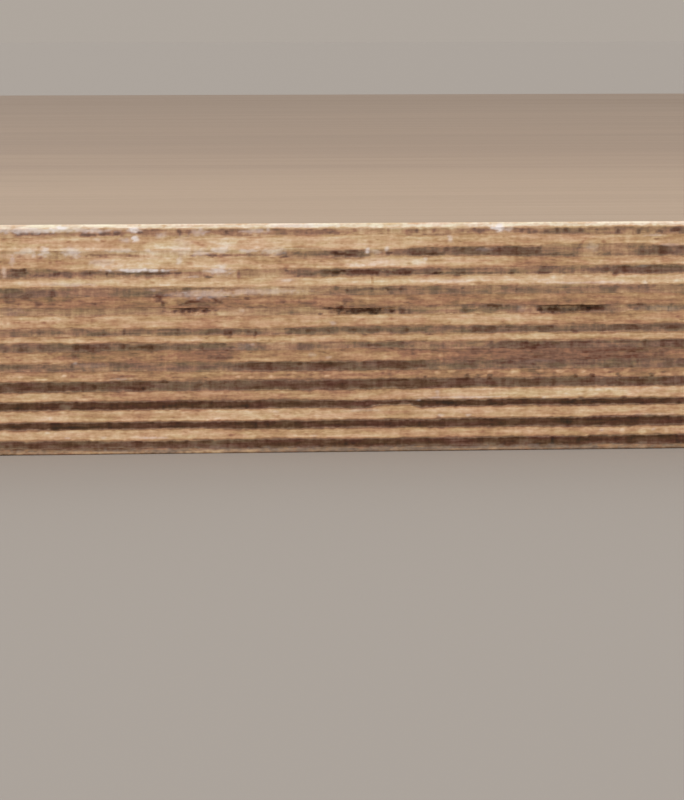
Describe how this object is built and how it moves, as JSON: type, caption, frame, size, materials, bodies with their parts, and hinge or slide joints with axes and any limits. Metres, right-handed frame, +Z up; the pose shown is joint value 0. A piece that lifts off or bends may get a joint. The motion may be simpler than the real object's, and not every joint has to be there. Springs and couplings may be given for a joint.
{
  "type": "plywood sheet",
  "caption": "Flat sheet of cross-laminated hardwood plywood, with thin sanded face veneers and square-sawn edges that show every veneer.",
  "frame": {"origin": "centre of the sheet's bottom face", "axes": "+X along the sheet and its face grain, +Y from the front long edge to the back one, +Z up through the plies"},
  "size_m": [2.44, 1.22, 0.035],
  "materials": {
    "face_veneer": "sanded, satin sealed",
    "long_veneer": "sawn along the grain",
    "cross_veneer": "sawn end grain"
  },
  "bodies": {
    "root": {"ply_01_face": "face_veneer", "ply_02_cross": "cross_veneer", "ply_03_long": "long_veneer", "ply_04_cross": "cross_veneer", "ply_05_long": "long_veneer", "ply_06_cross": "cross_veneer", "ply_07_long": "long_veneer", "ply_08_cross": "cross_veneer", "ply_09_long": "long_veneer", "ply_10_cross": "cross_veneer", "ply_11_long": "long_veneer", "ply_12_cross": "cross_veneer", "ply_13_centre": "long_veneer", "ply_14_cross": "cross_veneer", "ply_15_long": "long_veneer", "ply_16_cross": "cross_veneer", "ply_17_long": "long_veneer", "ply_18_cross": "cross_veneer", "ply_19_long": "long_veneer", "ply_20_cross": "cross_veneer", "ply_21_long": "long_veneer", "ply_22_cross": "cross_veneer", "ply_23_long": "long_veneer", "ply_24_cross": "cross_veneer", "ply_25_face": "face_veneer"}
  },
  "joints": []
}
